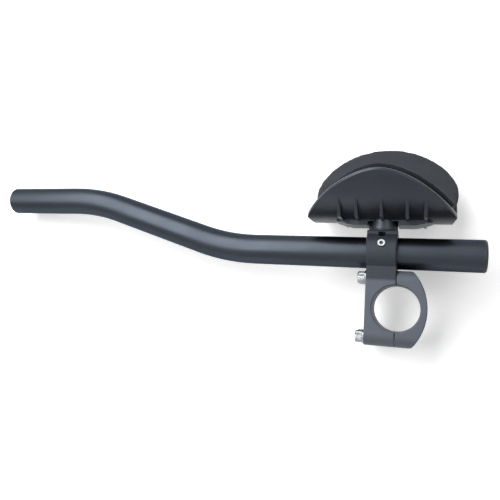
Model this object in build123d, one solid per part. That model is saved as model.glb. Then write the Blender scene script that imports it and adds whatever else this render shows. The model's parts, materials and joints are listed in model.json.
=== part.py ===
from build123d import *
import os
from math import cos, degrees, radians, sin, sqrt, tan

# An aero handlebar extension for the right hand, in millimetres with +Z up.
# The origin is the middle of the handlebar clamp's bore. The handlebar runs along Y,
# the bike's front is towards -X and the rider's outer side is +Y.

# Handlebar clamp
BAR_DIA = 31.8
CLAMP_WIDTH = 26.0
CLAMP_WALL = 4.5
CLAMP_GAP = 0.3
LUG_EDGE = 0.7
LUG_CORNER_R = 8.0
CAP_BULGE = 10.0
CAP_CORNER_R = 4.0
BORE_CHAMFER = 0.5
EDGE_CHAMFER = 0.6

# Clamp bolts, socket heads on the body's flat side
BOLT_DIA = 5.0
BOLT_LENGTH = 30.0
BOLT_HEAD_DIA = 8.5
BOLT_HEAD_HEIGHT = 5.0
BOLT_SOCKET = 4.0
BOLT_SPACING = 13.0
BOLT_CLEARANCE = 0.25
BOLT_WALL = 1.65
THREAD_CLEARANCE = 0.05
WASHER_DIA = 10.0
WASHER_THICK = 1.0

# Extension tube, bent twice in one plane
TUBE_DIA = 22.2
TUBE_WALL = 2.0
TUBE_TAIL = 55.6
TUBE_REAR_RUN = 181.6
TUBE_RISE = 37.0
TUBE_BEND_ANGLE = 17.0
TUBE_FRONT_RUN = 84.7
TUBE_BEND_R = 150.0

# Collar round the tube
COLLAR_WALL = 5.3
COLLAR_LENGTH = 19.4
SHOULDER_STEP = 0.5
SHOULDER_HEIGHT = 3.0
SADDLE_WIDTH = 22.0
SADDLE_DROP = 1.45
COLLAR_CLEARANCE = 0.05
BRIDGE_WALL = 4.2

# Set screws in the collar, by their angle above the horizontal
SCREW_DIA = 5.0
SCREW_LENGTH = 6.0
SCREW_SOCKET = 2.5
LOWER_SCREW_ANGLE = 18.7
UPPER_SCREW_ANGLE = 48.2
UPPER_SCREW_LENGTH = 4.0
SCREW_TIP_GAP = 0.3

# End plugs
PLUG_FLANGE = 2.0
PLUG_BEVEL = 0.9
PLUG_SPIGOT = 14.0
PLUG_CLEARANCE = 0.5
PLUG_RIB_HEIGHT = 0.4
PLUG_RIB_WIDTH = 1.2
PLUG_RIB_PLACE = 4.0

# Armrest post, on top of the collar
POST_DIA = 20.0
POST_HEIGHT = 7.2
POST_BEVEL = 0.6

# Armrest cup: a patch of a cylinder along X, higher on the outer side
CUP_R = 54.0
CUP_WALL = 3.2
CUP_SHIFT = -2.3
CUP_NEAR_ANGLE = 60.5
CUP_NEAR_REACH = 52.5
CUP_FAR_ANGLE = 100.0
CUP_FAR_REACH = 52.5
CUP_RIM_BEVEL = 1.0
CUP_SOCKET_DEPTH = 2.0
CUP_SEAT_DIA = 24.0
CUP_SEAT_THICK = 2.3

# The rim seen along X: a rounded peak on the inner side, half an ellipse on the outer one,
# and a shallow round bite out of each end between them
NEAR_POWER = 1.75
FAR_LOW_ANGLE = 55.0
BITE_X = 48.0
BITE_Y = 5.0
BITE_R = 77.0

# Base flange under the cup and the gussets that brace it
KEEL_LENGTH = 68.0
KEEL_WIDTH = 18.0
KEEL_CORNER_R = 8.0
KEEL_DROP = 2.85
KEEL_FLAT = 44.0
KEEL_BILGE_R = 12.0
GUSSET_ANGLE = 48.0
GUSSET_FOOT = 2.2
GUSSET_TIP = 1.0
GUSSET_OFFSETS = (0.0, 16.5, 28.0)

# Armrest bolt
REST_BOLT_DIA = 6.0
REST_BOLT_LENGTH = 14.0
REST_BOLT_HEAD_DIA = 10.5
REST_BOLT_HEAD_HEIGHT = 3.3
REST_BOLT_CROWN = 2.2
REST_BOLT_SOCKET = 4.0
REST_WASHER_DIA = 14.0
REST_WASHER_THICK = 1.2
REST_HOLE_END_GAP = 1.5
REST_CLEARANCE = 0.3

# Pad and its hook-and-loop patches
PAD_THICK = 8.0
PAD_RIM_BEVEL = 2.5
PAD_NEAR_ANGLE = 63.0
PAD_NEAR_REACH = 54.5
PAD_FAR_ANGLE = 106.0
PAD_FAR_REACH = 54.5
PAD_POCKET_GAP = 1.0
PATCH_THICK = 0.6
PATCH_HALF_LENGTH = 25.0
PATCH_NEAR = (-38.0, -20.0)
PATCH_FAR = (32.0, 72.0)
PATCH_GAP = 0.1

# Worked out from the above
BAR_R = BAR_DIA / 2
TUBE_R = TUBE_DIA / 2
TUBE_BORE_R = TUBE_R + COLLAR_CLEARANCE
BOLT_HOLE_R = BOLT_DIA / 2 + BOLT_CLEARANCE
BOLT_Z = BAR_R + BOLT_HOLE_R + BOLT_WALL
CLAMP_HALF_HEIGHT = BOLT_Z + WASHER_DIA / 2 + LUG_EDGE
TUBE_Z = BOLT_Z + BOLT_HOLE_R + BRIDGE_WALL + TUBE_BORE_R
COLLAR_R = TUBE_BORE_R + COLLAR_WALL
BODY_FACE_X = -(BAR_R + CLAMP_WALL)
COLLAR_REAR_X = BODY_FACE_X + COLLAR_LENGTH
POST_X = BODY_FACE_X + COLLAR_LENGTH / 2
CUP_X = POST_X + CUP_SHIFT
POST_TOP_Z = TUBE_Z + COLLAR_R + POST_HEIGHT
CAP_FACE_X = BAR_R + CLAMP_WALL
CUP_BOTTOM_Z = POST_TOP_Z - CUP_SOCKET_DEPTH
CUP_AXIS_Z = CUP_BOTTOM_Z + CUP_R
CUP_FLOOR_R = CUP_R - CUP_WALL
SEAT_TOP_Z = POST_TOP_Z + CUP_SEAT_THICK
PAD_R = CUP_FLOOR_R - 2 * PATCH_THICK - 2 * PATCH_GAP
REST_HEAD_Z = SEAT_TOP_Z + REST_WASHER_THICK
TUBE_REAR_X = COLLAR_REAR_X + TUBE_TAIL
SECTION_STEPS = 8
PAST = 1.0


def along_x(start, length, radius, y=0.0, z=0.0):
    """A round bar along +X from the given start."""
    end = Plane(origin=(start, y, z), x_dir=(0, 1, 0), z_dir=(1, 0, 0))
    return extrude(end * Circle(radius), length)


def along_y(length, radius):
    """A round bar along Y, centred on the handlebar's axis."""
    middle = Plane(origin=(0, 0, 0), x_dir=(1, 0, 0), z_dir=(0, 1, 0))
    return extrude(middle * Circle(radius), length / 2, both=True)


def upright(x, z, height, radius, y=0.0):
    """A round bar along +Z from the given height."""
    return extrude(Plane.XY.offset(z) * Pos(x, y) * Circle(radius), height)


def radial_bar(angle, inner, outer, radius):
    """A round bar that points at the tube's axis from the inner (-Y) side."""
    out = Vector(0, -cos(radians(angle)), sin(radians(angle)))
    start = Vector(POST_X, 0, TUBE_Z) + out * inner
    return extrude(Plane(origin=start, x_dir=(1, 0, 0), z_dir=out) * Circle(radius), outer - inner)


def bolt_places():
    """The Y and Z of each clamp bolt's axis."""
    return [(y, z) for y in (-BOLT_SPACING / 2, BOLT_SPACING / 2) for z in (-BOLT_Z, BOLT_Z)]


def lug_corner(side, end):
    """What is cut from one corner of a lug to round it, seen along X."""
    y = side * (CLAMP_WIDTH / 2 - LUG_CORNER_R)
    z = end * (CLAMP_HALF_HEIGHT - LUG_CORNER_R)
    far = LUG_CORNER_R + PAST
    plane = Plane(origin=(0, y, z), x_dir=(0, side, 0), z_dir=(1, 0, 0))
    square = Polygon((0, 0), (far, 0), (far, end * side * far), (0, end * side * far), align=None)
    return extrude(plane * (square - Circle(LUG_CORNER_R)), 2 * CAP_FACE_X, both=True)


def bevelled_slab(outline):
    """A clamp half from its side view, as wide as the clamp, with bevelled side edges."""
    flat = CLAMP_WIDTH / 2 - EDGE_CHAMFER
    middle = Plane(origin=(0, 0, 0), x_dir=(1, 0, 0), z_dir=(0, -1, 0))
    side = extrude(middle.offset(flat) * outline, EDGE_CHAMFER, taper=45)
    return extrude(middle * outline, flat, both=True) + side + mirror(side, Plane.XZ)


def bar_bore():
    """The handlebar's bore with a bevel at both mouths."""
    half = CLAMP_WIDTH / 2
    plane = Plane(origin=(0, half + PAST, 0), x_dir=(1, 0, 0), z_dir=(0, -1, 0))
    mouth = extrude(plane * Circle(BAR_R + BORE_CHAMFER + PAST), BORE_CHAMFER + PAST, taper=45)
    return along_y(CLAMP_WIDTH + 2 * PAST, BAR_R) + mouth + mirror(mouth, Plane.XZ)


def make_collar():
    """The ring round the tube, a little longer at the top, with a flat saddle for the post."""
    length = COLLAR_LENGTH + 2 * SHOULDER_STEP
    collar = along_x(POST_X - length / 2, length, COLLAR_R, z=TUBE_Z)
    collar = chamfer(collar.edges().filter_by(GeomType.CIRCLE), EDGE_CHAMFER)
    low = Box(length, 2 * COLLAR_R, 2 * COLLAR_R, align=(Align.MIN, Align.CENTER, Align.MAX))
    rear = Pos(COLLAR_REAR_X, 0, TUBE_Z + SHOULDER_HEIGHT) * low
    collar = collar - rear - mirror(rear, Plane.YZ.offset(POST_X))
    height = COLLAR_R - SHOULDER_HEIGHT - SADDLE_DROP
    saddle = Box(length, SADDLE_WIDTH, height, align=(Align.CENTER, Align.CENTER, Align.MIN))
    saddle = chamfer(saddle.edges().group_by(Axis.Z)[-1], EDGE_CHAMFER)
    return collar + Pos(POST_X, 0, TUBE_Z + SHOULDER_HEIGHT) * saddle


def make_bracket_body():
    """The rear clamp half, the collar and the post, forged as one."""
    bottom = -CLAMP_HALF_HEIGHT
    joint_x = -CLAMP_GAP / 2
    outline = Polygon((BODY_FACE_X, bottom), (joint_x, bottom), (joint_x, CLAMP_HALF_HEIGHT),
                      (COLLAR_REAR_X, TUBE_Z), (BODY_FACE_X, TUBE_Z), align=None)
    clamp = bevelled_slab(outline) - lug_corner(-1, -1) - lug_corner(1, -1)
    post = upright(POST_X, TUBE_Z, POST_TOP_Z - TUBE_Z, POST_DIA / 2)
    post = chamfer(post.edges().sort_by(Axis.Z)[-1], POST_BEVEL)
    body = clamp + make_collar() + post - bar_bore()
    body = body - along_x(2 * BODY_FACE_X, -2 * BODY_FACE_X, TUBE_BORE_R, z=TUBE_Z)
    for y, z in bolt_places():
        body = body - along_x(BODY_FACE_X - PAST, CLAMP_WALL + BAR_R + PAST, BOLT_HOLE_R, y, z)
    for angle in (LOWER_SCREW_ANGLE, UPPER_SCREW_ANGLE):
        body = body - radial_bar(angle, TUBE_R / 2, COLLAR_R + PAST, SCREW_DIA / 2 + THREAD_CLEARANCE)
    bottom = REST_HEAD_Z - REST_BOLT_LENGTH - REST_HOLE_END_GAP
    return body - upright(POST_X, bottom, POST_TOP_Z + PAST - bottom, REST_BOLT_DIA / 2 + THREAD_CLEARANCE)


def make_clamp_cap():
    """The loose clamp half, with a shallow arched back."""
    joint_x = CLAMP_GAP / 2
    top = CLAMP_HALF_HEIGHT
    shoulder = CAP_FACE_X - CAP_BULGE
    back = ThreePointArc((shoulder, -top), (CAP_FACE_X, 0), (shoulder, top))
    rest = Polyline((shoulder, top), (joint_x, top), (joint_x, -top), (shoulder, -top))
    face = make_face([back, rest])
    outer = [v for v in face.vertices() if v.X > joint_x + PAST]
    cap = bevelled_slab(fillet(outer, CAP_CORNER_R))
    for side, end in ((-1, -1), (-1, 1), (1, -1), (1, 1)):
        cap = cap - lug_corner(side, end)
    cap = cap - bar_bore()
    for y, z in bolt_places():
        cap = cap - along_x(0, CAP_FACE_X + PAST, BOLT_DIA / 2 + THREAD_CLEARANCE, y, z)
    return cap


def make_clamp_bolts():
    """Four socket-head bolts along X, their heads outside the body's flat face."""
    seat = BODY_FACE_X - WASHER_THICK
    bolts = []
    for y, z in bolt_places():
        head = along_x(seat - BOLT_HEAD_HEIGHT, BOLT_HEAD_HEIGHT, BOLT_HEAD_DIA / 2, y, z)
        head = chamfer(head.edges().sort_by(Axis.X)[0], BOLT_HEAD_HEIGHT / 10)
        bolt = head + along_x(seat, BOLT_LENGTH, BOLT_DIA / 2, y, z)
        end = Plane(origin=(seat - BOLT_HEAD_HEIGHT, y, z), x_dir=(0, 1, 0), z_dir=(1, 0, 0))
        key = RegularPolygon(BOLT_SOCKET / 2, 6, major_radius=False)
        bolts.append(bolt - extrude(end * key, BOLT_HEAD_HEIGHT / 2))
    return bolts


def make_clamp_washers():
    """A plain washer under each bolt head."""
    start = BODY_FACE_X - WASHER_THICK
    washers = []
    for y, z in bolt_places():
        disc = along_x(start, WASHER_THICK, WASHER_DIA / 2, y, z)
        washers.append(disc - along_x(start, WASHER_THICK, BOLT_HOLE_R, y, z))
    return washers


def make_set_screw(angle, length):
    """A socket set screw that points at the tube, its tip just clear of it."""
    tip = TUBE_R + SCREW_TIP_GAP
    out = Vector(0, -cos(radians(angle)), sin(radians(angle)))
    top = Vector(POST_X, 0, TUBE_Z) + out * (tip + length)
    screw = radial_bar(angle, tip, tip + length, SCREW_DIA / 2)
    mouth = Plane(origin=top, x_dir=(1, 0, 0), z_dir=-out)
    return screw - extrude(mouth * RegularPolygon(SCREW_SOCKET / 2, 6, major_radius=False), length / 2)


def tube_line():
    """The tube's centre line: two straight runs either side of a sloping one."""
    slope = TUBE_RISE / tan(radians(TUBE_BEND_ANGLE))
    rear_bend = TUBE_REAR_X - TUBE_REAR_RUN
    front_bend = rear_bend - slope
    front_z = TUBE_Z + TUBE_RISE
    points = [(TUBE_REAR_X, 0, TUBE_Z), (rear_bend, 0, TUBE_Z),
              (front_bend, 0, front_z), (front_bend - TUBE_FRONT_RUN, 0, front_z)]
    return points, FilletPolyline(*points, radius=TUBE_BEND_R)


def make_extension_tube():
    """The bent tube, one wall thickness all along."""
    points, line = tube_line()
    end = Plane(origin=points[0], x_dir=(0, 1, 0), z_dir=(-1, 0, 0))
    ring = end * (Circle(TUBE_R) - Circle(TUBE_R - TUBE_WALL))
    return sweep(ring, path=line)


def make_end_plug(end, outward):
    """A push-in plug: a bevelled flange on the tube's end and a spigot with one gripping rib."""
    spigot = TUBE_R - TUBE_WALL - PLUG_CLEARANCE
    flange = extrude(Circle(TUBE_R), PLUG_FLANGE)
    flange = chamfer(flange.edges().sort_by(Axis.Z)[-1], PLUG_BEVEL)
    rib = extrude(Plane.XY.offset(-PLUG_RIB_PLACE) * Circle(spigot + PLUG_RIB_HEIGHT), PLUG_RIB_WIDTH)
    plug = flange + extrude(Circle(spigot), -PLUG_SPIGOT) + rib
    return Plane(origin=end, x_dir=(0, 1, 0), z_dir=(outward, 0, 0)) * plug


def polar(radius, angle):
    """The Y and Z of a point round the cup's axis, by its angle from the lowest line."""
    return (radius * sin(radians(angle)), CUP_AXIS_Z - radius * cos(radians(angle)))


def arc_band(x, outer, inner, start, end, bevel=0.0):
    """A band between two arcs about the cup's axis, at one place along X."""
    slant = degrees(bevel / outer)
    middle = (start + end) / 2
    outside = ThreePointArc(polar(outer, start + slant), polar(outer, middle), polar(outer, end - slant))
    inside = ThreePointArc(polar(inner, start + slant), polar(inner, middle), polar(inner, end - slant))
    near = [polar(outer, start + slant), polar(outer - bevel, start), polar(inner + bevel, start),
            polar(inner, start + slant)]
    far = [polar(outer, end - slant), polar(outer - bevel, end), polar(inner + bevel, end),
           polar(inner, end - slant)]
    steps = (0, 1, 2) if bevel else (0,)
    stride = 1 if bevel else 3
    sides = [Line(side[i], side[i + stride]) for side in (near, far) for i in steps]
    plane = Plane(origin=(x, 0, 0), x_dir=(0, 1, 0), z_dir=(1, 0, 0))
    return plane * make_face([outside, inside] + sides)


def near_rim(x, peak, reach):
    """How high the inner rim stands up the cylinder's side at one place along X, in degrees."""
    return peak * max(0.0, 1 - abs(x / reach) ** NEAR_POWER) ** (1 / NEAR_POWER)


def far_rim(x, peak, reach):
    """The same for the outer rim."""
    return FAR_LOW_ANGLE + (peak - FAR_LOW_ANGLE) * sqrt(max(0.0, 1 - (x / reach) ** 2))


def end_bite(end):
    """What is cut out of one end of the cup or the pad."""
    x = CUP_X + end * (BITE_X + BITE_R)
    return upright(x, CUP_AXIS_Z - CUP_R - PAST, CUP_R + PAST, BITE_R, BITE_Y)


def dish(outer, inner, near, far, bevel):
    """A patch of a cylindrical wall with a bevelled rim; near and far are each a peak and a reach."""
    reach = far[1]
    sections = []
    for i in range(-SECTION_STEPS, SECTION_STEPS + 1):
        x = reach * sin(radians(90 * i / SECTION_STEPS))
        start = -near_rim(x, *near)
        end = far_rim(x, *far)
        sections.append(arc_band(CUP_X + x, outer + PAST, inner - PAST, start, end, bevel + PAST))
    start = CUP_X - reach - PAST
    ring = along_x(start, 2 * (reach + PAST), outer, z=CUP_AXIS_Z)
    ring = ring - along_x(start, 2 * (reach + PAST), inner, z=CUP_AXIS_Z)
    return (loft(sections) & ring) - end_bite(-1) - end_bite(1)


def cup_gusset(offset, side):
    """A web that leaves the cup's outside at a tangent and ends level with its lowest line."""
    middle_r = CUP_R - CUP_WALL / 2
    foot_y = side * CUP_R * tan(radians(GUSSET_ANGLE / 2))
    root_y, root_z = polar(middle_r, side * GUSSET_ANGLE)
    across = Plane(origin=(POST_X + offset, 0, 0), x_dir=(0, 1, 0), z_dir=(1, 0, 0))
    side_view = Polygon((foot_y, CUP_BOTTOM_Z), (root_y, root_z), (0, CUP_BOTTOM_Z + CUP_WALL / 2),
                        (0, CUP_BOTTOM_Z), align=None)
    facing = Plane(origin=(POST_X + offset, 0, 0), x_dir=(1, 0, 0), z_dir=(0, -1, 0))
    front_view = Polygon((-GUSSET_FOOT / 2, CUP_BOTTOM_Z), (GUSSET_FOOT / 2, CUP_BOTTOM_Z),
                         (GUSSET_TIP / 2, root_z), (-GUSSET_TIP / 2, root_z), align=None)
    web = extrude(across * side_view, GUSSET_FOOT, both=True)
    return web & extrude(facing * front_view, CUP_R, both=True)


def cup_keel():
    """The flange under the cup: rounded ends in plan, and its bottom swept up at both ends."""
    bottom = CUP_BOTTOM_Z - KEEL_DROP
    top = CUP_BOTTOM_Z + CUP_WALL
    corners = [(-KEEL_LENGTH / 2, top), (-KEEL_LENGTH / 2, CUP_BOTTOM_Z), (-KEEL_FLAT / 2, bottom),
               (KEEL_FLAT / 2, bottom), (KEEL_LENGTH / 2, CUP_BOTTOM_Z), (KEEL_LENGTH / 2, top)]
    side_view = Polygon(*corners, align=None)
    side_view = fillet(side_view.vertices().group_by(Axis.Y)[0], KEEL_BILGE_R)
    facing = Plane(origin=(POST_X, 0, 0), x_dir=(1, 0, 0), z_dir=(0, -1, 0))
    plan = Plane.XY.offset(bottom) * Pos(POST_X, 0) * RectangleRounded(KEEL_LENGTH, KEEL_WIDTH, KEEL_CORNER_R)
    return extrude(facing * side_view, KEEL_WIDTH, both=True) & extrude(plan, top - bottom)


def cup_base():
    """The flange under the cup and its gussets, up to the middle of the cup's wall."""
    base = cup_keel()
    for offset in GUSSET_OFFSETS:
        for x in {-offset, offset}:
            base = base + cup_gusset(x, -1) + cup_gusset(x, 1)
    return base - along_x(POST_X - KEEL_LENGTH, 2 * KEEL_LENGTH, CUP_R - CUP_WALL / 2, z=CUP_AXIS_Z)


def make_armrest_cup():
    """The moulded cup: trough, base flange notched for the post, gussets and the post's seat."""
    near = (CUP_NEAR_ANGLE, CUP_NEAR_REACH)
    far = (CUP_FAR_ANGLE, CUP_FAR_REACH)
    cup = dish(CUP_R, CUP_FLOOR_R, near, far, CUP_RIM_BEVEL)
    cup = cup + cup_base() + upright(POST_X, POST_TOP_Z, CUP_SEAT_THICK, CUP_SEAT_DIA / 2)
    socket_dia = POST_DIA + 2 * REST_CLEARANCE
    notch = Box(socket_dia, KEEL_WIDTH + PAST, 2 * KEEL_DROP, align=(Align.CENTER, Align.CENTER, Align.MAX))
    cup = cup - Pos(POST_X, 0, CUP_BOTTOM_Z) * notch
    cup = cup - upright(POST_X, CUP_BOTTOM_Z - PAST, POST_TOP_Z - CUP_BOTTOM_Z + PAST, socket_dia / 2)
    hole_r = REST_BOLT_DIA / 2 + REST_CLEARANCE
    return cup - upright(POST_X, CUP_BOTTOM_Z, SEAT_TOP_Z - CUP_BOTTOM_Z + PAST, hole_r)


def make_armrest_bolt():
    """A low round-headed bolt down into the post."""
    head = upright(POST_X, REST_HEAD_Z, REST_BOLT_HEAD_HEIGHT, REST_BOLT_HEAD_DIA / 2)
    head = chamfer(head.edges().sort_by(Axis.Z)[-1], REST_BOLT_CROWN)
    bolt = head + upright(POST_X, REST_HEAD_Z - REST_BOLT_LENGTH, REST_BOLT_LENGTH, REST_BOLT_DIA / 2)
    mouth = Plane.XY.offset(REST_HEAD_Z + REST_BOLT_HEAD_HEIGHT) * Pos(POST_X, 0)
    key = RegularPolygon(REST_BOLT_SOCKET / 2, 6, major_radius=False)
    return bolt - extrude(mouth * key, -REST_BOLT_HEAD_HEIGHT * 0.7)


def make_armrest_washer():
    """The washer between that bolt and the cup's seat."""
    disc = upright(POST_X, SEAT_TOP_Z, REST_WASHER_THICK, REST_WASHER_DIA / 2)
    return disc - upright(POST_X, SEAT_TOP_Z, REST_WASHER_THICK, REST_BOLT_DIA / 2 + REST_CLEARANCE)


def make_arm_pad():
    """The foam liner, with a pocket underneath for the bolt's head."""
    near = (PAD_NEAR_ANGLE, PAD_NEAR_REACH)
    far = (PAD_FAR_ANGLE, PAD_FAR_REACH)
    pad = dish(PAD_R, PAD_R - PAD_THICK, near, far, PAD_RIM_BEVEL)
    pocket_top = REST_HEAD_Z + REST_BOLT_HEAD_HEIGHT + PAD_POCKET_GAP
    pocket = upright(POST_X, POST_TOP_Z, pocket_top - POST_TOP_Z, REST_WASHER_DIA / 2 + PAD_POCKET_GAP)
    return pad - pocket


def make_patches(outer):
    """Two strips of tape, one up each side of the cup."""
    strips = []
    for start, end in (PATCH_NEAR, PATCH_FAR):
        band = arc_band(POST_X - PATCH_HALF_LENGTH, outer, outer - PATCH_THICK, start, end)
        strips.append(extrude(band, 2 * PATCH_HALF_LENGTH))
    return strips


def save(name, shape):
    """Write one node, which may be a group of separate solids."""
    solids = shape if isinstance(shape, list) else [shape]
    whole = Compound(children=solids) if len(solids) > 1 else solids[0]
    export_step(whole, os.path.join("parts", name + ".step"))


os.makedirs("parts", exist_ok=True)
tube_points, tube_path = tube_line()
save("extension_tube", make_extension_tube())
save("rear_end_plug", make_end_plug(tube_points[0], 1))
save("front_end_plug", make_end_plug(tube_points[-1], -1))
save("bracket_body", make_bracket_body())
save("clamp_cap", make_clamp_cap())
save("clamp_bolts", make_clamp_bolts())
save("clamp_washers", make_clamp_washers())
save("lower_set_screw", make_set_screw(LOWER_SCREW_ANGLE, SCREW_LENGTH))
save("upper_set_screw", make_set_screw(UPPER_SCREW_ANGLE, UPPER_SCREW_LENGTH))
save("armrest_cup", make_armrest_cup())
save("armrest_bolt", make_armrest_bolt())
save("armrest_washer", make_armrest_washer())
save("hook_patches", make_patches(CUP_FLOOR_R - PATCH_GAP))
save("loop_patches", make_patches(PAD_R + PATCH_GAP + PATCH_THICK))
save("arm_pad", make_arm_pad())
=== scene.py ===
# %% [markdown]
# An aero handlebar extension: a bent tube held by a clamp on a bicycle's handlebar, with a
# padded cup for the rider's forearm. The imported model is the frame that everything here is
# built around. It could be redrawn in Blender, but then the sizes would drift, so the solids
# are loaded as they are and this file gives them their looks.

import bmesh
import bpy
import json
from math import atan2, cos, hypot, pi, radians, sin
from mathutils import Matrix, Vector


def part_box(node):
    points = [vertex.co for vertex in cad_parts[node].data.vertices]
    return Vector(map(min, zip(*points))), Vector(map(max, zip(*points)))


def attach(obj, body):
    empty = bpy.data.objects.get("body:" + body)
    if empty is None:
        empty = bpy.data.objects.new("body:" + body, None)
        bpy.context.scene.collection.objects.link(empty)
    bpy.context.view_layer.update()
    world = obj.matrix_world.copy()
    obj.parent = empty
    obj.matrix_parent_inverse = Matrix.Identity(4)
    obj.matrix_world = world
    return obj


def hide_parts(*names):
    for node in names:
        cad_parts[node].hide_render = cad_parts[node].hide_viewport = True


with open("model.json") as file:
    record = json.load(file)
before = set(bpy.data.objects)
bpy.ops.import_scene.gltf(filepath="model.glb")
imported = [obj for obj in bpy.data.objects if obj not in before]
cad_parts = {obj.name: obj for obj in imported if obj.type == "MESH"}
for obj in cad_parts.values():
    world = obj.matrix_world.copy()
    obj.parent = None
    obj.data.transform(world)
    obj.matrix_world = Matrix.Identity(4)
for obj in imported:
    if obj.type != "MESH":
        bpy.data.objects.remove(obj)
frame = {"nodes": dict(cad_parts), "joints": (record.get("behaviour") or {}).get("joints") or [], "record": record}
nodes = frame["nodes"]
scene = bpy.context.scene
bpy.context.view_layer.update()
print("nodes:", ", ".join(sorted(nodes)))

# %% [markdown]
# The photograph was taken from close by, a little from the right and level with the clamp.
# A camera could be aimed by eye, but the tube's straight runs fix it: the values below make
# its edges fall where the photograph has them. The picture is taken as square.

# %% Camera
CAMERA_PLACE = Vector((0.0162, -0.3734, -0.0006))
CAMERA_YAW = radians(-18.58)
CAMERA_PITCH = radians(5.54)
CAMERA_ROLL = radians(3.74)
CAMERA_LENS = 37.2
CAMERA_SENSOR = 36.0
CAMERA_NEAREST = 0.01


def camera_pose():
    """The camera's place and turn, as one matrix."""
    heading = Vector((sin(CAMERA_YAW), cos(CAMERA_YAW), 0))
    forward = heading * cos(CAMERA_PITCH) + Vector((0, 0, sin(CAMERA_PITCH)))
    level = Vector((cos(CAMERA_YAW), -sin(CAMERA_YAW), 0))
    upright = level.cross(forward)
    right = level * cos(CAMERA_ROLL) + upright * sin(CAMERA_ROLL)
    up = upright * cos(CAMERA_ROLL) - level * sin(CAMERA_ROLL)
    turn = Matrix((right, up, -forward)).transposed().to_4x4()
    return Matrix.Translation(CAMERA_PLACE) @ turn


camera = bpy.data.objects.new("camera", bpy.data.cameras.new("camera"))
camera.data.lens = CAMERA_LENS
camera.data.sensor_width = CAMERA_SENSOR
camera.data.clip_start = CAMERA_NEAREST
camera.matrix_world = camera_pose()
scene.collection.objects.link(camera)
scene.camera = camera
print("camera at", [round(v, 3) for v in CAMERA_PLACE])

# %% [markdown]
# The floor, the room and every finish are small networks of nodes. They could be joined up by
# hand in the shader editor, but these helpers say in one line what would take five. The first
# two work on values. The others choose between two shaders, and tell the rays that show the
# room, from the camera or by way of a mirror or glass, from the rays that only carry its light.

# %% Node helpers
def combine(tree, operation, first, second):
    """Two values put together; each is a number or another node's output."""
    node = tree.nodes.new("ShaderNodeMath")
    node.operation = operation
    for socket, value in zip(node.inputs, (first, second)):
        if isinstance(value, (int, float)):
            socket.default_value = value
        else:
            tree.links.new(value, socket)
    return node.outputs[0]


def spread(tree, value, from_low, from_high, to_low, to_high, eased=False):
    """Stretches a value from one range to another, with soft ends if it is eased."""
    node = tree.nodes.new("ShaderNodeMapRange")
    if eased:
        node.interpolation_type = "SMOOTHSTEP"
    node.inputs["From Min"].default_value = from_low
    node.inputs["From Max"].default_value = from_high
    node.inputs["To Min"].default_value = to_low
    node.inputs["To Max"].default_value = to_high
    tree.links.new(value, node.inputs["Value"])
    return node.outputs["Result"]


def either(tree, value, first, second):
    """The first shader where the value is 0, the second where it is 1."""
    node = tree.nodes.new("ShaderNodeMixShader")
    for socket, source in zip(node.inputs, (value, first, second)):
        tree.links.new(source, socket)
    return node.outputs[0]


def light_path_mask(tree):
    """1 for rays from the camera and for mirror-like and clear ones, 0 for the rest."""
    path = tree.nodes.new("ShaderNodeLightPath")
    seen = combine(tree, "MAXIMUM", path.outputs["Is Camera Ray"], path.outputs["Is Glossy Ray"])
    return combine(tree, "MAXIMUM", seen, path.outputs["Is Transmission Ray"])


print("node helpers ready")

# %% [markdown]
# The part was photographed lying on a white table. Plain white would come out grey in the lamps'
# light, and a brighter lamp would spoil the part, so the table's finish glows a little for the
# rays that show it. It keeps the part's shadow and is clear from behind, so that the part can be
# seen from its outer side too. Away from the part it fades out, so that no view shows an edge.

# %% Floor: its finish
FLOOR_MIDDLE = (-0.14, 0.06, 0.06)
FLOOR_FADE_START = 0.40
FLOOR_FADE_END = 0.80
FLOOR_WHITE = (0.86, 0.86, 0.86, 1)
FLOOR_LIFT = 0.48


def lifted_white(tree):
    """Matt white that takes the part's shadow, lifted to white for the rays that show it."""
    matt = tree.nodes.new("ShaderNodeBsdfDiffuse")
    matt.inputs["Color"].default_value = FLOOR_WHITE
    lift = tree.nodes.new("ShaderNodeEmission")
    lift.inputs["Color"].default_value = (1, 1, 1, 1)
    strength = combine(tree, "MULTIPLY", light_path_mask(tree), FLOOR_LIFT)
    tree.links.new(strength, lift.inputs["Strength"])
    both = tree.nodes.new("ShaderNodeAddShader")
    tree.links.new(matt.outputs[0], both.inputs[0])
    tree.links.new(lift.outputs[0], both.inputs[1])
    return both.outputs[0]


def clear_mask(tree):
    """1 on the sheet's back and far from the part, 0 where the sheet shows."""
    spot = tree.nodes.new("ShaderNodeNewGeometry")
    away = tree.nodes.new("ShaderNodeVectorMath")
    away.operation = "DISTANCE"
    away.inputs[1].default_value = FLOOR_MIDDLE
    tree.links.new(spot.outputs["Position"], away.inputs[0])
    fade = spread(tree, away.outputs["Value"], FLOOR_FADE_START, FLOOR_FADE_END, 0.0, 1.0, eased=True)
    return combine(tree, "MAXIMUM", spot.outputs["Backfacing"], fade)


def white_table_finish():
    material = bpy.data.materials.new("white_table")
    material.use_nodes = True
    tree = material.node_tree
    tree.nodes.remove(tree.nodes["Principled BSDF"])
    clear = tree.nodes.new("ShaderNodeBsdfTransparent")
    surface = either(tree, clear_mask(tree), lifted_white(tree), clear.outputs[0])
    tree.links.new(surface, tree.nodes["Material Output"].inputs["Surface"])
    return material


white_table = white_table_finish()
print("floor finish:", white_table.name)

# %% [markdown]
# The part lies on its outer side, so the table is a sheet behind it, close to the cup's outer side,
# the tube's far end and the clamp's back. It could be a level floor under the clamp, but then the
# soft shadow would fall below the part, not beside it.

# %% Floor: the sheet
FLOOR_NORMAL = Vector((0.0926, -0.9536, 0.2865)).normalized()
FLOOR_TOUCH = Vector((-0.011, 0.054, 0.114))
FLOOR_DEPTH = 0.010
FLOOR_SIZE = 0.9

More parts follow.
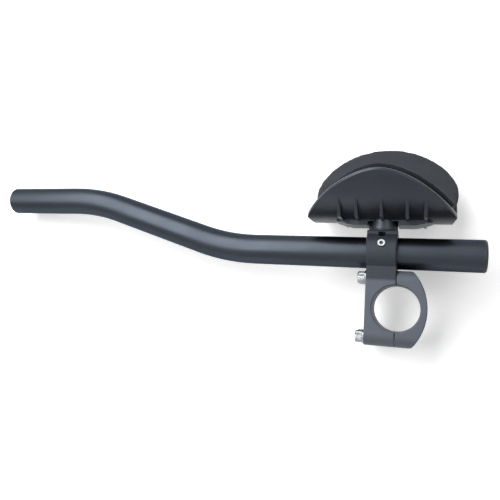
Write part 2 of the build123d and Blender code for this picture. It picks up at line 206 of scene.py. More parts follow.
sheet = bmesh.new()
bmesh.ops.create_grid(sheet, x_segments=1, y_segments=1, size=FLOOR_SIZE)
facing = FLOOR_NORMAL.to_track_quat("Z", "Y").to_matrix().to_4x4()
behind = Matrix.Translation(FLOOR_TOUCH - FLOOR_NORMAL * FLOOR_DEPTH)
bmesh.ops.transform(sheet, matrix=behind @ facing, verts=sheet.verts)
floor_mesh = bpy.data.meshes.new("white_table")
sheet.to_mesh(floor_mesh)
sheet.free()
floor = bpy.data.objects.new("white_table", floor_mesh)
floor_mesh.materials.append(white_table)
scene.collection.objects.link(floor)
print("floor faces", [round(v, 2) for v in floor_mesh.polygons[0].normal])

# %% [markdown]
# The room is white to the camera and in reflections, which is what gives black metal its sheen.
# Its own light on the part is faint, and a little stronger from above and behind. A plain grey
# world would be simpler, but it would show as a grey picture and make the metal dull.

# %% Room
ROOM_GREY = (0.05, 0.05, 0.05, 1)
ROOM_WHITE = (1, 1, 1, 1)
ROOM_DARK = 0.20
ROOM_PALE = 0.85
ROOM_PALE_WAY = (-0.35, 0.45, 0.82)
ROOM_DARK_END = -0.7
ROOM_PALE_END = 0.8


def studio_world():
    world = bpy.data.worlds.new("studio")
    world.use_nodes = True
    tree = world.node_tree
    room = tree.nodes["Background"]
    room.inputs["Color"].default_value = ROOM_GREY
    way = tree.nodes.new("ShaderNodeTexCoord")
    along = tree.nodes.new("ShaderNodeVectorMath")
    along.operation = "DOT_PRODUCT"
    along.inputs[1].default_value = ROOM_PALE_WAY
    tree.links.new(way.outputs["Generated"], along.inputs[0])
    level = along.outputs["Value"]
    grade = spread(tree, level, ROOM_DARK_END, ROOM_PALE_END, ROOM_DARK, ROOM_PALE, eased=True)
    tree.links.new(grade, room.inputs["Strength"])
    white = tree.nodes.new("ShaderNodeBackground")
    white.inputs["Color"].default_value = ROOM_WHITE
    white.inputs["Strength"].default_value = 1.0
    shown = either(tree, light_path_mask(tree), room.outputs[0], white.outputs[0])
    tree.links.new(shown, tree.nodes["World Output"].inputs["Surface"])
    return world


scene.world = studio_world()
scene.view_settings.view_transform = "Standard"
print("room:", scene.world.name, "with", len(scene.world.node_tree.nodes), "nodes")

# %% [markdown]
# The light in the photograph is soft and comes from the upper left, as from a wide window. A sun
# would cut hard edges, so this is one large lamp, with a smaller and weaker one to fill the
# right side.

# %% Lamps
WINDOW_PLACE = (-0.62, -0.94, 0.50)
WINDOW_AIM = (-0.12, 0.0, 0.05)
WINDOW_SIZE = (0.85, 1.7)
WINDOW_POWER = 25.0
FILL_PLACE = (0.60, -0.85, 0.20)
FILL_AIM = (-0.02, 0.0, 0.06)
FILL_SIZE = (0.5, 0.4)
FILL_POWER = 2.0


def softbox(name, place, aim, size, power):
    """A wide lamp at a place, turned towards what it lights."""
    lamp = bpy.data.lights.new(name, "AREA")
    lamp.shape = "RECTANGLE"
    lamp.size, lamp.size_y = size
    lamp.energy = power
    holder = bpy.data.objects.new(name, lamp)
    way = (Vector(aim) - Vector(place)).to_track_quat("-Z", "Y").to_matrix().to_4x4()
    holder.matrix_world = Matrix.Translation(place) @ way
    scene.collection.objects.link(holder)


softbox("window_light", WINDOW_PLACE, WINDOW_AIM, WINDOW_SIZE, WINDOW_POWER)
softbox("fill_light", FILL_PLACE, FILL_AIM, FILL_SIZE, FILL_POWER)

# %% [markdown]
# Every finish below is worked out from the place on the piece, so it needs no pictures. Each
# one starts from Blender's general shader and a point in the piece's own frame. Patterns could
# be painted instead, but a worked-out one stays sharp at any distance and survives a change of
# shape. These helpers start a finish and make the random patches that most of them use.

# %% Finish helpers: patterns
COOL_TINT = (0.74, 0.85, 1.0)
NOISE_LOW = 0.3
NOISE_HIGH = 0.7


def new_finish(name, roughness, metallic=0.0, specular=0.5, tint=COOL_TINT):
    """A material's tree with one general shader, and the point that its patterns read."""
    material = bpy.data.materials.new(name)
    material.use_nodes = True
    tree = material.node_tree
    shader = tree.nodes["Principled BSDF"]
    shader.inputs["Roughness"].default_value = roughness
    shader.inputs["Metallic"].default_value = metallic
    shader.inputs["Specular IOR Level"].default_value = specular
    shader.inputs["Specular Tint"].default_value = (*tint, 1)
    place = tree.nodes.new("ShaderNodeTexCoord")
    return material, tree, shader, place.outputs["Object"]


def stretched(tree, place, scale):
    """The point, scaled by itself along each axis, for a pattern that runs one way."""
    node = tree.nodes.new("ShaderNodeMapping")
    node.inputs["Scale"].default_value = scale
    tree.links.new(place, node.inputs["Vector"])
    return node.outputs["Vector"]


def mottle(tree, place, scale, detail):
    """Soft random patches between 0 and 1, most of them near the middle."""
    node = tree.nodes.new("ShaderNodeTexNoise")
    node.inputs["Scale"].default_value = scale
    node.inputs["Detail"].default_value = detail
    tree.links.new(place, node.inputs["Vector"])
    return node.outputs["Fac"]


def patches(tree, place, scale, detail, low, high):
    """Soft random patches that use the whole range from low to high."""
    return spread(tree, mottle(tree, place, scale, detail), NOISE_LOW, NOISE_HIGH, low, high)


print("pattern helpers ready")

# %% [markdown]
# A pattern by itself is only a number at each place. On a real surface it shows as a drift in
# colour or as a roughness that the light catches. Very fine relief could be modelled, but it would
# take millions of faces, so the finish only tilts the light there.

# %% Finish helpers: colour and relief
def two_tone(tree, value, first, second):
    """A colour between two, as the value goes from 0 to 1."""
    node = tree.nodes.new("ShaderNodeMix")
    node.data_type = "RGBA"
    ends = [socket for socket in node.inputs if socket.type == "RGBA"]
    for socket, colour in zip(ends, (first, second)):
        if isinstance(colour, tuple):
            socket.default_value = (*colour, 1)
        else:
            tree.links.new(colour, socket)
    tree.links.new(value, node.inputs["Factor"])
    return [socket for socket in node.outputs if socket.type == "RGBA"][0]


def relief(tree, shader, height, depth, strength, under=None):
    """Raises the surface by a pattern; depth is in metres, and under is a normal to start from."""
    node = tree.nodes.new("ShaderNodeBump")
    node.inputs["Strength"].default_value = strength
    node.inputs["Distance"].default_value = depth
    tree.links.new(height, node.inputs["Height"])
    if under is not None:
        tree.links.new(under, node.inputs["Normal"])
    tree.links.new(node.outputs["Normal"], shader.inputs["Normal"])


def dress(material, *names):
    """Gives a finish to solids of the frame."""
    for name in names:
        nodes[name].material_slots[0].material = material
    print("finish:", material.name, "on", ", ".join(names))


print("colour and relief helpers ready")

# %% [markdown]
# The tube is drawn aluminium, bead-blasted and anodised black: satin, with a soft sheen where
# it turns to the light and faint streaks along its length from drawing. Plain black would look
# like rubber, so the colour drifts a little, hands leave smoother patches, and the blasting is
# a very fine relief.

# %% Anodised tube
TUBE_DARK = (0.034, 0.040, 0.049)
TUBE_PALE = (0.052, 0.060, 0.072)
TUBE_EDGE_TINT = (0.50, 0.54, 0.60)


def anodised_tube_finish():
    material, tree, shader, place = new_finish("anodised_tube", 0.38, metallic=1.0, tint=TUBE_EDGE_TINT)
    streaks = mottle(tree, stretched(tree, place, (9, 160, 160)), scale=1.0, detail=4.0)
    clouds = patches(tree, place, scale=22, detail=3.0, low=0.5, high=1.2)
    tone = combine(tree, "MULTIPLY", streaks, clouds)
    tree.links.new(two_tone(tree, tone, TUBE_DARK, TUBE_PALE), shader.inputs["Base Color"])
    handled = patches(tree, place, scale=40, detail=5.0, low=0.34, high=0.42)
    tree.links.new(handled, shader.inputs["Roughness"])
    blast = mottle(tree, place, scale=2400, detail=2.0)
    relief(tree, shader, blast, depth=0.00003, strength=0.3)
    return material


dress(anodised_tube_finish(), "extension_tube")

# %% [markdown]
# Real edges are never knife-sharp: they catch a line of light, and get rubbed. Rounding every
# edge in the mesh would cost many faces, so the finish bends the light at the edges instead, and
# the same step gives a mask of where they are. Two more helpers find a place on the part: how far
# it is from an axis, and whether it is above a height.

# %% Edges and places
EDGE_SAMPLES = 6
EDGE_FLAT = 1.0
EDGE_BENT = 0.8


def soft_edges(tree, radius):
    """Normals that run smoothly round sharp edges, and a mask that is 1 along them."""
    rounded = tree.nodes.new("ShaderNodeBevel")
    rounded.samples = EDGE_SAMPLES
    rounded.inputs["Radius"].default_value = radius
    flat = tree.nodes.new("ShaderNodeNewGeometry")
    agree = tree.nodes.new("ShaderNodeVectorMath")
    agree.operation = "DOT_PRODUCT"
    tree.links.new(rounded.outputs["Normal"], agree.inputs[0])
    tree.links.new(flat.outputs["Normal"], agree.inputs[1])
    edges = spread(tree, agree.outputs["Value"], EDGE_FLAT, EDGE_BENT, 0.0, 1.0)
    return rounded.outputs["Normal"], edges


def from_axis(tree, place, across):
    """The distance from an axis; across is 1 for the directions square to it and 0 along it."""
    flat = tree.nodes.new("ShaderNodeVectorMath")
    flat.operation = "MULTIPLY"
    flat.inputs[1].default_value = across
    tree.links.new(place, flat.inputs[0])
    out = tree.nodes.new("ShaderNodeVectorMath")
    out.operation = "LENGTH"
    tree.links.new(flat.outputs["Vector"], out.inputs[0])
    return out.outputs["Value"]


def above(tree, place, height, blend):
    """0 below a height and 1 above it, with a short blend to either side."""
    parts = tree.nodes.new("ShaderNodeSeparateXYZ")
    tree.links.new(place, parts.inputs["Vector"])
    return spread(tree, parts.outputs["Z"], height - blend, height + blend, 0.0, 1.0)


print("edge and place helpers ready")

# %% [markdown]
# The bracket and its cap are forged, blasted and anodised a shade paler than the tube, so their
# faces read as dark grey. The collar above the clamp is painted darker than the clamp's halves:
# this is painted shade, from the cup that hangs over it. The post for the armrest and the
# handlebar's bore are turned on a lathe, which leaves fine rings and, on the post, a skin with more
# sheen. Each zone could be a material of its own, but a mask by place needs no cut in the mesh. A
# little bare metal comes through where edges get rubbed.

# %% Forged bracket and cap
def named(rows, name):
    """The row of a list in the frame that has a name."""
    return next(row for row in rows if row["name"] == name)


BORE_R = named(frame["record"]["mounts"], "handlebar_clamp")["dims"]["r_mm"] / 1000
BORE_BLEND_START = 0.0001
BORE_BLEND_END = 0.0003
# Above this height the collar gets painted shade, as if from the cup hanging over it.
COLLAR_SHADE_Z = 0.019
COLLAR_SHADE_BLEND = 0.001
POST_FOOT_Z = 0.0547
POST_BLEND = 0.0002
POST_METAL = 0.9
POST_SMOOTHER = 0.10
BODY_DARK = (0.080, 0.089, 0.107)
BODY_PALE = (0.108, 0.119, 0.141)
# The collar's colour is painted shade: darker than the clamp where the cup would shade it.
COLLAR_PAINTED_SHADE = (0.025, 0.028, 0.034)
TURNED_SKIN = (0.048, 0.053, 0.063)
RUBBED_METAL = (0.20, 0.20, 0.205)
FORGING_EDGE_R = 0.0007


def masked_sum(tree, first, second, mask):
    """The first value, with the second added where the mask is 1."""
    return combine(tree, "ADD", first, combine(tree, "MULTIPLY", second, mask))


def forging_finish(name, with_post):
    """The clamp's finish; with_post adds the collar, painted darker as painted shade, and the turned post."""
    material, tree, shader, place = new_finish(name, 0.5, specular=0.35)
    rounded, edges = soft_edges(tree, FORGING_EDGE_R)
    skin = two_tone(tree, mottle(tree, place, scale=70, detail=4.0), BODY_DARK, BODY_PALE)
    gloss = patches(tree, place, scale=420, detail=3.0, low=0.42, high=0.56)
    from_bore = from_axis(tree, place, (1, 0, 1))
    in_bore = spread(tree, from_bore, BORE_R + BORE_BLEND_START, BORE_R + BORE_BLEND_END, 1.0, 0.0)
    bore_rings = mottle(tree, stretched(tree, place, (1, 3200, 1)), scale=1.0, detail=1.0)
    blast = mottle(tree, place, scale=1500, detail=3.0)
    height = masked_sum(tree, blast, bore_rings, in_bore)
    if with_post:
        # Painted shade: the collar above the clamp is made darker.
        collar_shade = above(tree, place, COLLAR_SHADE_Z, COLLAR_SHADE_BLEND)
        turned = above(tree, place, POST_FOOT_Z, POST_BLEND)
        skin = two_tone(tree, collar_shade, skin, COLLAR_PAINTED_SHADE)
        skin = two_tone(tree, turned, skin, TURNED_SKIN)
        gloss = combine(tree, "SUBTRACT", gloss, combine(tree, "MULTIPLY", turned, POST_SMOOTHER))
        post_rings = mottle(tree, stretched(tree, place, (1, 1, 2600)), scale=1.0, detail=1.0)
        height = masked_sum(tree, height, post_rings, turned)
        tree.links.new(spread(tree, turned, 0.0, 1.0, 0.0, POST_METAL), shader.inputs["Metallic"])
    rubbed = spread(tree, mottle(tree, place, scale=260, detail=4.0), 0.45, 0.7, 0.0, 0.45)
    worn = combine(tree, "MULTIPLY", edges, rubbed)
    tree.links.new(two_tone(tree, worn, skin, RUBBED_METAL), shader.inputs["Base Color"])
    tree.links.new(gloss, shader.inputs["Roughness"])
    relief(tree, shader, height, depth=0.00005, strength=0.35, under=rounded)
    return material


dress(forging_finish("anodised_body", True), "bracket_body")
dress(forging_finish("anodised_cap", False), "clamp_cap")

# %% [markdown]
# The cup is a glass-filled nylon moulding, and so are the tube's end plugs. Their moulds were
# spark-eroded, so the skin has a fine even grain, and it is a touch glossier in broad patches
# where the plastic met the steel first. Random noise alone would look like stone, so small round
# cells are added to it. The rims are rounded over, which puts a bright line along them.

# %% Moulded cup and end plugs
CUP_DARK = (0.012, 0.013, 0.016)
CUP_PALE = (0.020, 0.021, 0.026)
PLUG_DARK = (0.010, 0.010, 0.011)
PLUG_PALE = (0.017, 0.017, 0.018)
SCUFFED_NYLON = (0.12, 0.12, 0.13)
MOULDING_EDGE_R = 0.0008
SMOOTHER_BY = 0.05
ROUGHER_BY = 0.07
SECOND_GRAIN = 1.7


def cells(tree, place, scale, randomness=1.0):
    """Round cells: 0 in the middle of each, rising to its edge."""
    node = tree.nodes.new("ShaderNodeTexVoronoi")
    node.inputs["Scale"].default_value = scale
    node.inputs["Randomness"].default_value = randomness
    tree.links.new(place, node.inputs["Vector"])
    return node.outputs["Distance"]


def moulded_finish(name, dark, pale, roughness, grain):
    material, tree, shader, place = new_finish(name, roughness)
    rounded, edges = soft_edges(tree, MOULDING_EDGE_R)
    flow = patches(tree, stretched(tree, place, (40, 90, 60)), scale=1.0, detail=3.0, low=0.0, high=1.0)
    body = two_tone(tree, flow, dark, pale)
    rubbed = spread(tree, mottle(tree, place, scale=300, detail=4.0), 0.5, 0.75, 0.0, 0.35)
    scuffs = combine(tree, "MULTIPLY", edges, rubbed)
    tree.links.new(two_tone(tree, scuffs, body, SCUFFED_NYLON), shader.inputs["Base Color"])
    smoothest = roughness - SMOOTHER_BY
    roughest = roughness + ROUGHER_BY
    gloss = patches(tree, place, scale=30, detail=4.0, low=smoothest, high=roughest)
    tree.links.new(gloss, shader.inputs["Roughness"])
    fine = mottle(tree, place, scale=grain * SECOND_GRAIN, detail=2.0)
    skin = combine(tree, "ADD", cells(tree, place, grain), fine)
    relief(tree, shader, skin, depth=0.00004, strength=0.3, under=rounded)
    return material


cup_nylon = moulded_finish("moulded_nylon", CUP_DARK, CUP_PALE, roughness=0.36, grain=1400)
plug_nylon = moulded_finish("plug_nylon", PLUG_DARK, PLUG_PALE, roughness=0.5, grain=1800)
dress(plug_nylon, "front_end_plug", "rear_end_plug")
print("finish:", cup_nylon.name, "for the cup's copy")

# %% [markdown]
# The clamp's bolts and washers and one set screw are bright zinc. The plating is thin, so it
# shows fine turning marks and a faint tint in patches. The other set screw and the armrest's
# bolt are blacked steel with an oily, uneven gloss. One smooth metal would look like chrome, so
# both get their tint, gloss and marks from noise, by one function with other values.

# %% Fasteners' plating
ZINC_DARK = (0.26, 0.27, 0.28)
ZINC_PALE = (0.40, 0.41, 0.42)
STEEL_DARK = (0.012, 0.012, 0.013)
STEEL_PALE = (0.035, 0.034, 0.033)


def plated_finish(name, dark, pale, smoothest, roughest, metallic):
    material, tree, shader, place = new_finish(name, roughest, metallic)
    tint = patches(tree, place, scale=380, detail=4.0, low=0.0, high=1.0)
    tree.links.new(two_tone(tree, tint, dark, pale), shader.inputs["Base Color"])
    gloss = patches(tree, place, scale=900, detail=3.0, low=smoothest, high=roughest)
    tree.links.new(gloss, shader.inputs["Roughness"])
    turned = mottle(tree, stretched(tree, place, (5200, 500, 500)), scale=1.0, detail=2.0)
    relief(tree, shader, turned, depth=0.00002, strength=0.3)
    return material


bright_zinc = plated_finish("bright_zinc", ZINC_DARK, ZINC_PALE, 0.20, 0.34, metallic=1.0)
blacked_steel = plated_finish("blacked_steel", STEEL_DARK, STEEL_PALE, 0.28, 0.45, metallic=0.6)
dress(bright_zinc, "clamp_washers", "lower_set_screw", "armrest_washer")
dress(blacked_steel, "upper_set_screw", "armrest_bolt")

# %% [markdown]
# Strips of hook tape are stuck inside the cup and strips of loop tape on the pad's back. They
# show only when the pad is peeled off. Hooks could be modelled one by one, but there are
# thousands, each a hair thick. The hooks stand in even rows and the loops are a tangle, so one
# gets a regular cell pattern and the other a random one, both as deep relief.

# %% Hook and loop tape
HOOK_DARK = (0.008, 0.008, 0.008)
HOOK_PALE = (0.03, 0.03, 0.03)
LOOP_DARK = (0.012, 0.012, 0.012)
LOOP_PALE = (0.04, 0.04, 0.04)


def tape_finish(name, dark, pale, scale, randomness):
    material, tree, shader, place = new_finish(name, 0.8, specular=0.25)
    tips = spread(tree, cells(tree, place, scale, randomness), 0.0, 0.6, 1.0, 0.0)
    tree.links.new(two_tone(tree, tips, dark, pale), shader.inputs["Base Color"])
    relief(tree, shader, tips, depth=0.0004, strength=0.8)
    return material


dress(tape_finish("hook_tape", HOOK_DARK, HOOK_PALE, scale=900, randomness=0.15), "hook_patches")
dress(tape_finish("loop_tape", LOOP_DARK, LOOP_PALE, scale=1300, randomness=1.0), "loop_patches")

# %% [markdown]
# The clamp is drawn up by four socket-head bolts. Their heads have a knurled rim for the
# fingers, a bevelled top and a hexagon for the key. A plain cylinder would do from afar, but the
# knurl is what makes the heads glitter, so the bolt is raised ring by ring from a circle, with
# every second corner of the head's rings pulled in.

# %% Clamp bolt: shank and head
KNURLS = 36
KNURL_VALLEY = 0.97
SHANK_R = 0.0025
SHANK_LENGTH = 0.030
SHANK_TIP_R = SHANK_R * 0.75
SHANK_TIP = 0.0006
SHANK_NECK = 0.0001
HEAD_R = 0.00425
# Each ring of the head: its height, its share of the radius, and how far its valleys reach.
HEAD_RINGS = [
    (0.0, 0.95, 1.0),
    (0.0003, 1.0, KNURL_VALLEY),
    (0.0041, 1.0, KNURL_VALLEY),
    (0.0046, 0.93, 1.0),
    (0.0050, 0.84, 1.0),
]


def only(kind, parts):
    """The points, edges or faces out of what an operator gives."""
    return [part for part in parts if isinstance(part, kind)]


def ring_shape(face, height, outer, valley):
    """Puts a face's corners on a circle at a height, every second one at the valley's radius."""
    for i, corner in enumerate(face.verts):
        radius = valley if i % 2 else outer
        way = corner.co.xy.normalized()
        corner.co = (way.x * radius, way.y * radius, height)


def raised(work, face, height, outer, valley):
    """Adds a ring on top of a face, drops the old face if it is inside, and gives the new one."""
    grown = bmesh.ops.extrude_face_region(work, geom=[face])["geom"]
    top = only(bmesh.types.BMFace, grown)[0]
    if face.is_valid and len(face.edges[0].link_faces) > 2:
        bmesh.ops.delete(work, geom=[face], context="FACES_ONLY")
    ring_shape(top, height, outer, valley)
    return top


def bolt_body(work):
    """The shank and the head, the head towards +Z with its seat at 0; gives its top face."""
    circle = bmesh.ops.create_circle(work, cap_ends=True, radius=SHANK_TIP_R, segments=2 * KNURLS)
    tip = circle["verts"]
    bmesh.ops.translate(work, verts=tip, vec=(0, 0, -SHANK_LENGTH))
    top = tip[0].link_faces[0]
    for height in (SHANK_TIP - SHANK_LENGTH, -SHANK_NECK):
        top = raised(work, top, height, SHANK_R, SHANK_R)
    for height, share, valley in HEAD_RINGS:
        top = raised(work, top, height, HEAD_R * share, HEAD_R * share * valley)
    return top


bolts = bmesh.new()
head_top = bolt_body(bolts)
print("bolt:", len(bolts.faces), "faces before its socket")

# %% [markdown]
# The key's socket is a hexagon sunk into the head, with the shallow point that its drill leaves.
# It could be cut with a boolean, but that leaves thin slivers. Here the top face is taken out, a
# hexagon is bridged to its rim, and the hexagon's edges are drawn down into the head.

# %% Clamp bolt: key socket
SOCKET_CORNER_R = 0.00231
SOCKET_MOUTH_Z = 0.0049
SOCKET_DEPTH = 0.0026
SOCKET_POINT = 0.0005
SAME_POINT = 1e-6


def key_socket(work, top):
    """Opens the hexagon in the head's top face."""
    rim = list(top.edges)
    bmesh.ops.delete(work, geom=[top], context="FACES_ONLY")
    mouth = bmesh.ops.create_circle(work, cap_ends=False, radius=SOCKET_CORNER_R, segments=6)["verts"]
    bmesh.ops.translate(work, verts=mouth, vec=(0, 0, SOCKET_MOUTH_Z))
    hexagon = [edge for edge in work.edges if edge.verts[0] in mouth and edge.verts[1] in mouth]
    bmesh.ops.bridge_loops(work, edges=rim + hexagon)
    sunk = bmesh.ops.extrude_edge_only(work, edges=hexagon)["geom"]
    bmesh.ops.translate(work, verts=only(bmesh.types.BMVert, sunk), vec=(0, 0, -SOCKET_DEPTH))
    end = bmesh.ops.contextual_create(work, geom=only(bmesh.types.BMEdge, sunk))["faces"]
    bmesh.ops.poke(work, faces=end, offset=-SOCKET_POINT)


key_socket(bolts, head_top)
bmesh.ops.remove_doubles(bolts, verts=bolts.verts, dist=SAME_POINT)
bmesh.ops.recalc_face_normals(bolts, faces=bolts.faces)
print("bolt:", len(bolts.faces), "faces with its socket")

# %% [markdown]
# Four bolts hold the cap, two above the bar and two below. They could be four objects, but they
# are one group in the frame, so the finished bolt is copied four times within its mesh. Nobody
# lines up the hexagons when tightening, so each copy is turned a little further than the last.

# %% Clamp bolts: in place
HEAD_SEAT_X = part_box("clamp_washers")[0][0]
BOLT_Y = 0.0065
BOLT_Z = 0.0203
BOLT_PLACES = [(y, z) for y in (-BOLT_Y, BOLT_Y) for z in (-BOLT_Z, BOLT_Z)]
BOLT_TWIST = radians(23)


def finished_piece(name, work, body):
    """Closes a bmesh into a piece that rides on a body."""
    mesh = bpy.data.meshes.new(name)
    work.to_mesh(mesh)
    work.free()
    piece = bpy.data.objects.new(name, mesh)
    scene.collection.objects.link(piece)
    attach(piece, body)
    return piece


pattern = list(bolts.verts) + list(bolts.edges) + list(bolts.faces)
lying = Matrix.Rotation(radians(-90), 4, "Y")
for i, (y, z) in enumerate(BOLT_PLACES):
    copy = bmesh.ops.duplicate(bolts, geom=pattern)["geom"]
    twisted = lying @ Matrix.Rotation(BOLT_TWIST * i, 4, "Z")
    seated = Matrix.Translation((HEAD_SEAT_X, y, z)) @ twisted
    bmesh.ops.transform(bolts, matrix=seated, verts=only(bmesh.types.BMVert, copy))
bmesh.ops.delete(bolts, geom=only(bmesh.types.BMVert, pattern), context="VERTS")
clamp_bolts = finished_piece("knurled_clamp_bolts", bolts, "bracket")
clamp_bolts.data.materials.append(bright_zinc)
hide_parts("clamp_bolts")
print("clamp bolts:", len(clamp_bolts.data.polygons), "faces")

# %% [markdown]
# The tip of the cup's rearmost gusset stands a millimetre past the rim, where a moulder would
# trim it. The solid itself is never changed, so a copy of it stands in. The tip could be cut off
# with a plane, but the rim is curved both ways, so the points that stand proud are relaxed
# instead, until they lie in the rim with their neighbours.

# %% Trimmed cup
CUP_AXIS_Z = 0.11405
GUSSET_TIP_X = (0.0167, 0.0179)
RIM_ANGLE = radians(-46.05)
TRIM_PASSES = 40


def merged_copy(node):
    """A solid's mesh as a bmesh of its own, with its loose triangles joined up."""
    work = bmesh.new()
    work.from_mesh(nodes[node].data)
    bmesh.ops.remove_doubles(work, verts=work.verts, dist=SAME_POINT)
    return work


def relax(work, points, passes):
    """Moves points towards the middle of their neighbours, a number of times."""
    for i in range(passes):
        bmesh.ops.smooth_vert(work, verts=points, factor=0.5,
                              use_axis_x=True, use_axis_y=True, use_axis_z=True)


def round_axis(point):
    """A point's distance from the cup's axis, and its angle from the lowest line."""
    return hypot(point.y, CUP_AXIS_Z - point.z), atan2(point.y, CUP_AXIS_Z - point.z)


def stands_proud(point):
    """True on the tip of the rearmost gusset, past the rim."""
    low, high = GUSSET_TIP_X
    return low < point.x < high and round_axis(point)[1] < RIM_ANGLE


moulding = merged_copy("armrest_cup")
proud = [v for v in moulding.verts if stands_proud(v.co)]
relax(moulding, proud, TRIM_PASSES)
for face in moulding.faces:
    face.smooth = False
trimmed_cup = finished_piece("trimmed_armrest_cup", moulding, "armrest")
trimmed_cup.data.materials.append(cup_nylon)
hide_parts("armrest_cup")
print("cup:", len(proud), "points trimmed,", len(trimmed_cup.data.polygons), "faces")

# %% [markdown]
# The pad is a foam liner covered in stretch cloth. Seen from afar it is a bent slab, but real
# foam swells between its edges and its rim is full and round. It could be modelled by hand with
# extra loops. Here a copy of the solid is remeshed evenly, its back is held where it sticks to
# the cup, and a cloth simulation blows the rest up a little.

# %% Pad: an even mesh
PAD_VOXEL = 0.0022


def baked(piece):
    """Gives a piece the mesh that its modifiers make, and removes them."""
    graph = bpy.context.evaluated_depsgraph_get()
    mesh = bpy.data.meshes.new_from_object(piece.evaluated_get(graph))
    old = piece.data
    piece.modifiers.clear()
    piece.data = mesh
    bpy.data.meshes.remove(old)


foam = merged_copy("arm_pad")
bmesh.ops.recalc_face_normals(foam, faces=foam.faces)
pad = finished_piece("arm_pad_cover", foam, "armrest")
even = pad.modifiers.new("even", "REMESH")
even.mode = "VOXEL"
even.voxel_size = PAD_VOXEL
baked(pad)
print("pad:", len(pad.data.vertices), "even points")

# %% [markdown]
# The remesh leaves small steps along the slanting rims, and smoothing takes them out. The cover
# pulls the inner side's corners in a little, so they stay behind the cup's rim. Points on the
# pad's back, and round the pocket over the bolt's head, are held still in the simulation. They
# could be painted with a brush, but picking them by place and facing also works on a new shape.

# %% Pad: smoothed and held
POST_X = named(frame["joints"], "armrest_swivel")["pos_m"][0]
CUP_X = sum(corner[0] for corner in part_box("armrest_cup")) / 2
PAD_BACK_R = 0.0494
PAD_SMOOTHING = 6
PAD_REAR_PULL = 0.045
PAD_FRONT_PULL = 0.125
PAD_PULL_FADE = radians(16)
BOLT_POCKET_R = 0.0100
BOLT_POCKET_TOP_Z = 0.0705
STUCK_FACING = 0.6
STUCK_DEPTH = 0.0015


def over_bolt(point):
    """True in the pocket that clears the bolt's head."""
    return hypot(point.x - POST_X, point.y) < BOLT_POCKET_R and point.z < BOLT_POCKET_TOP_Z


def holds(vertex):
    """True where the pad is stuck down or clears the bolt."""
    radius, angle = round_axis(vertex.co)
    outwards = vertex.normal.y * sin(angle) - vertex.normal.z * cos(angle)
    stuck = outwards > STUCK_FACING and radius > PAD_BACK_R - STUCK_DEPTH
    return stuck or over_bolt(vertex.co)


even_foam = bmesh.new()
even_foam.from_mesh(pad.data)
for vertex in even_foam.verts:
    angle = round_axis(vertex.co)[1]
    pull = PAD_FRONT_PULL if vertex.co.x < CUP_X else PAD_REAR_PULL
    pull *= min(1.0, max(0.0, -angle / PAD_PULL_FADE))
    vertex.co.x = CUP_X + (vertex.co.x - CUP_X) * (1 - pull)
relax(even_foam, [v for v in even_foam.verts if not over_bolt(v.co)], PAD_SMOOTHING)
even_foam.normal_update()
held = [v.index for v in even_foam.verts if holds(v)]
even_foam.to_mesh(pad.data)
even_foam.free()
pad.vertex_groups.new(name="held").add(held, 1.0, "REPLACE")
print("pad:", len(held), "points held")

# %% [markdown]
# The foam's swell could be faked by moving points outwards, but then every edge swells alike. In
# a simulation the cover's own stiffness holds the edges in. It runs for twenty frames with a
# little pressure inside and no gravity. How far a point may move is capped, so the pad stays in
# the room that the solid holds, and its back never goes through the cup.

# %% Pad: swelled
PAD_PRESSURE = 4.0
PAD_STIFFNESS = 20
PAD_FRAMES = 20
PAD_MOVE_CAP = 0.0016


def swell(piece):
    """Blows a piece up like a tight cover, and keeps the result as its mesh."""
    cloth = piece.modifiers.new("swell", "CLOTH")
    cloth.settings.quality = 6
    cloth.settings.mass = 0.1
    cloth.settings.tension_stiffness = PAD_STIFFNESS
    cloth.settings.compression_stiffness = PAD_STIFFNESS
    cloth.settings.bending_stiffness = 2
    cloth.settings.use_pressure = True
    cloth.settings.uniform_pressure_force = PAD_PRESSURE
    cloth.settings.vertex_group_mass = "held"
    cloth.settings.effector_weights.gravity = 0
    cloth.point_cache.frame_start = 1
    cloth.point_cache.frame_end = PAD_FRAMES
    for number in range(1, PAD_FRAMES + 1):
        scene.frame_set(number)
    baked(piece)
    scene.frame_set(1)


def limit_moves(mesh, start):
    """Caps how far the points have moved, keeps them off the cup, and gives the longest move."""
    longest = 0.0
    for vertex, before in zip(mesh.vertices, start):
        step = vertex.co - before
        if step.length > PAD_MOVE_CAP:
            vertex.co = before + step.normalized() * PAD_MOVE_CAP
        radius, angle = round_axis(vertex.co)
        if radius > PAD_BACK_R:
            vertex.co.y = PAD_BACK_R * sin(angle)
            vertex.co.z = CUP_AXIS_Z - PAD_BACK_R * cos(angle)
        longest = max(longest, (vertex.co - before).length)
    return longest


start = [v.co.copy() for v in pad.data.vertices]
swell(pad)
moved = limit_moves(pad.data, start)
print("pad: moved by up to", round(moved * 1000, 2), "mm")

# %% [markdown]
# The cover is a matt stretch cloth, and its yarns follow the pad. A pattern read straight from
# the space around would cut across the curve, so the cloth is laid out on a map of the surface:
# round the cup one way, along it the other, and on over the rim without a break.

# %% Pad: a map for the cloth
MAP_UNIT = 0.1
PAD_MIDDLE_ANGLE = radians(25)


def map_cover(mesh):
    """Lays the pad out flat: the depth in from its back is added on the way out from its middle."""
    sheet_map = mesh.uv_layers.new(name="cover")
    for loop in mesh.loops:
        point = mesh.vertices[loop.vertex_index].co
        radius, angle = round_axis(point)
        depth = PAD_BACK_R - radius
        round_way = PAD_BACK_R * angle + (depth if angle > PAD_MIDDLE_ANGLE else -depth)
        long_way = point.x - CUP_X + (depth if point.x > CUP_X else -depth)
        sheet_map.data[loop.index].uv = (round_way / MAP_UNIT, long_way / MAP_UNIT)


map_cover(pad.data)
print("pad:", len(pad.data.loops), "corners mapped")
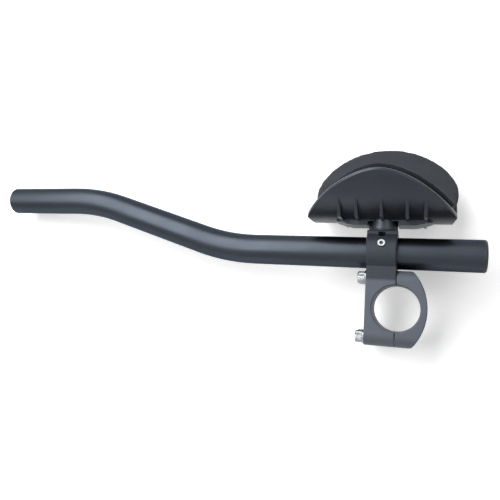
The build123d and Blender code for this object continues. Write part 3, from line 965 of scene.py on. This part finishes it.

# %% [markdown]
# Seen close up, the cloth is a fine weave with a little fuzz and a soft sheen. Single yarns would
# be far too many to model, so two crossed waves on the map stand in for them, as colour and as
# relief. Near the pad's back, the rim is made darker all round, which shows as a dark line along it.

# %% Pad: cloth cover
YARN = 0.0009
# The rim is made darker within this width of the pad's back, all round.
DARK_RIM_WIDTH = 0.0066
DARK_RIM_BLEND = 0.001
CLOTH_DARK = (0.030, 0.033, 0.038)
CLOTH_PALE = (0.064, 0.069, 0.079)
DARK_RIM_COLOUR = (0.010, 0.011, 0.014)


def weave(tree):
    """Crossed yarns on the cover's map, from 0 between them to 1 on top."""
    laid = tree.nodes.new("ShaderNodeUVMap")
    laid.uv_map = "cover"
    parts = tree.nodes.new("ShaderNodeSeparateXYZ")
    tree.links.new(laid.outputs["UV"], parts.inputs["Vector"])
    turns = 2 * pi * MAP_UNIT / YARN
    warp = combine(tree, "SINE", combine(tree, "MULTIPLY", parts.outputs["X"], turns), 0.0)
    weft = combine(tree, "SINE", combine(tree, "MULTIPLY", parts.outputs["Y"], turns), 0.0)
    return spread(tree, combine(tree, "MULTIPLY", warp, weft), -1.0, 1.0, 0.0, 1.0)


def dark_rim_mask(tree, place):
    """1 on the darker band of the rim near the pad's back, 0 on the rest of the cloth."""
    spot = tree.nodes.new("ShaderNodeVectorMath")
    spot.operation = "SUBTRACT"
    spot.inputs[1].default_value = (0, 0, CUP_AXIS_Z)
    tree.links.new(place, spot.inputs[0])
    out = from_axis(tree, spot.outputs["Vector"], (0, 1, 1))
    edge = PAD_BACK_R - DARK_RIM_WIDTH
    return spread(tree, out, edge, edge + DARK_RIM_BLEND, 0.0, 1.0)


def cover_finish():
    material, tree, shader, place = new_finish("stretch_cloth", 0.85, specular=0.2)
    shader.inputs["Sheen Weight"].default_value = 0.12
    shader.inputs["Sheen Roughness"].default_value = 0.45
    yarns = weave(tree)
    clouds = patches(tree, place, scale=45, detail=4.0, low=0.6, high=1.2)
    cloth = two_tone(tree, combine(tree, "MULTIPLY", yarns, clouds), CLOTH_DARK, CLOTH_PALE)
    # The band of the rim near the pad's back is made darker.
    rimmed = two_tone(tree, dark_rim_mask(tree, place), cloth, DARK_RIM_COLOUR)
    tree.links.new(rimmed, shader.inputs["Base Color"])
    fuzz = mottle(tree, place, scale=2600, detail=3.0)
    relief(tree, shader, combine(tree, "ADD", yarns, fuzz), depth=0.00012, strength=0.5)
    return material


pad.data.materials.append(cover_finish())
for face in pad.data.polygons:
    face.use_smooth = True
finer = pad.modifiers.new("finer", "SUBSURF")
finer.levels = finer.render_levels = 1
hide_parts("arm_pad")
print("pad:", len(pad.data.polygons), "faces before its subdivision")
